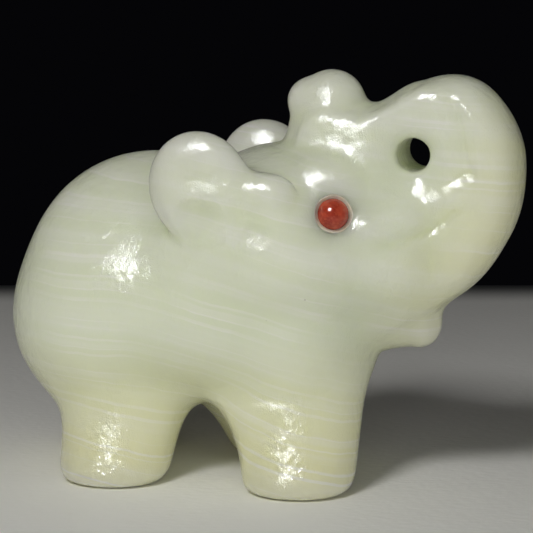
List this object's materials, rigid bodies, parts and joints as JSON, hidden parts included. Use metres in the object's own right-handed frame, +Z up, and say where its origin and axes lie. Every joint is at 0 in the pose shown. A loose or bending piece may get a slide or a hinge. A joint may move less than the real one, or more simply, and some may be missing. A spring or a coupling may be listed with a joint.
{
  "type": "calcite elephant carving",
  "caption": "Small carved and polished calcite elephant on splayed legs, its trunk curled back over the forehead in a loop, with round bead eyes.",
  "frame": {"origin": "on the surface that the feet stand on, under the middle of the box that holds the carving", "axes": "+X towards the face, +Y towards the elephant's left, +Z up"},
  "size_m": [0.0508, 0.0256, 0.0396],
  "materials": {
    "calcite": "polished, translucent, pale green with thin white bands",
    "red_bead": "polished, deep orange red"
  },
  "bodies": {
    "root": {"elephant": "calcite", "eye_right": "red_bead", "eye_left": "red_bead"}
  },
  "joints": []
}
